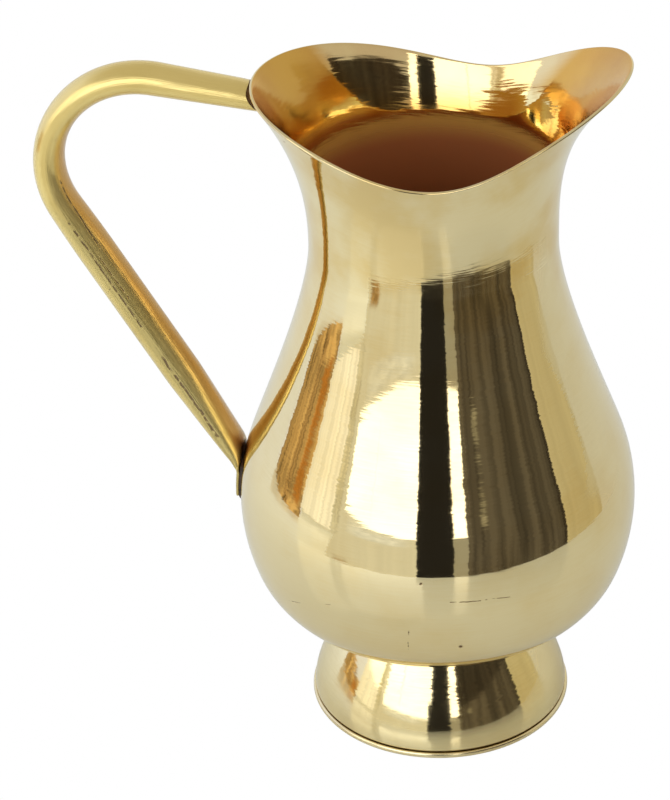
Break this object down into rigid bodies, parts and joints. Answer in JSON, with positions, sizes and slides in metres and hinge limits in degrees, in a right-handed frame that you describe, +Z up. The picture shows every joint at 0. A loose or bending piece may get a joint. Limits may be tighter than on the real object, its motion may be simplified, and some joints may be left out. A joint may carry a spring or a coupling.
{
  "type": "footed brass jug",
  "caption": "Pear-shaped brass water jug with a flared pouring lip, a spun bell foot on a base ring and a bent tube handle brazed to the lip and the belly.",
  "frame": {"origin": "on the table, under the middle of the jug's bounding box; the jug's own axis stands at X = 0.0336 m", "axes": "+Z up, +X towards the spout, -X towards the handle, +Y across the plane of spout and handle"},
  "size_m": [0.2067, 0.1394, 0.2548],
  "materials": {
    "vessel_brass": "polished, fine turning lines",
    "foot_brass": "polished, fine turning lines",
    "ring_brass": "polished",
    "handle_brass": "polished, drawn along the tube, small pits",
    "braze_filler": "dull, oxidised",
    "burnt_filler": "matt, burnt black"
  },
  "bodies": {
    "root": {"vessel": "vessel_brass", "foot": "foot_brass", "base_ring": "ring_brass", "handle": "handle_brass", "lip_braze": "braze_filler", "foot_braze": "braze_filler", "tail_braze": "burnt_filler"}
  },
  "joints": []
}
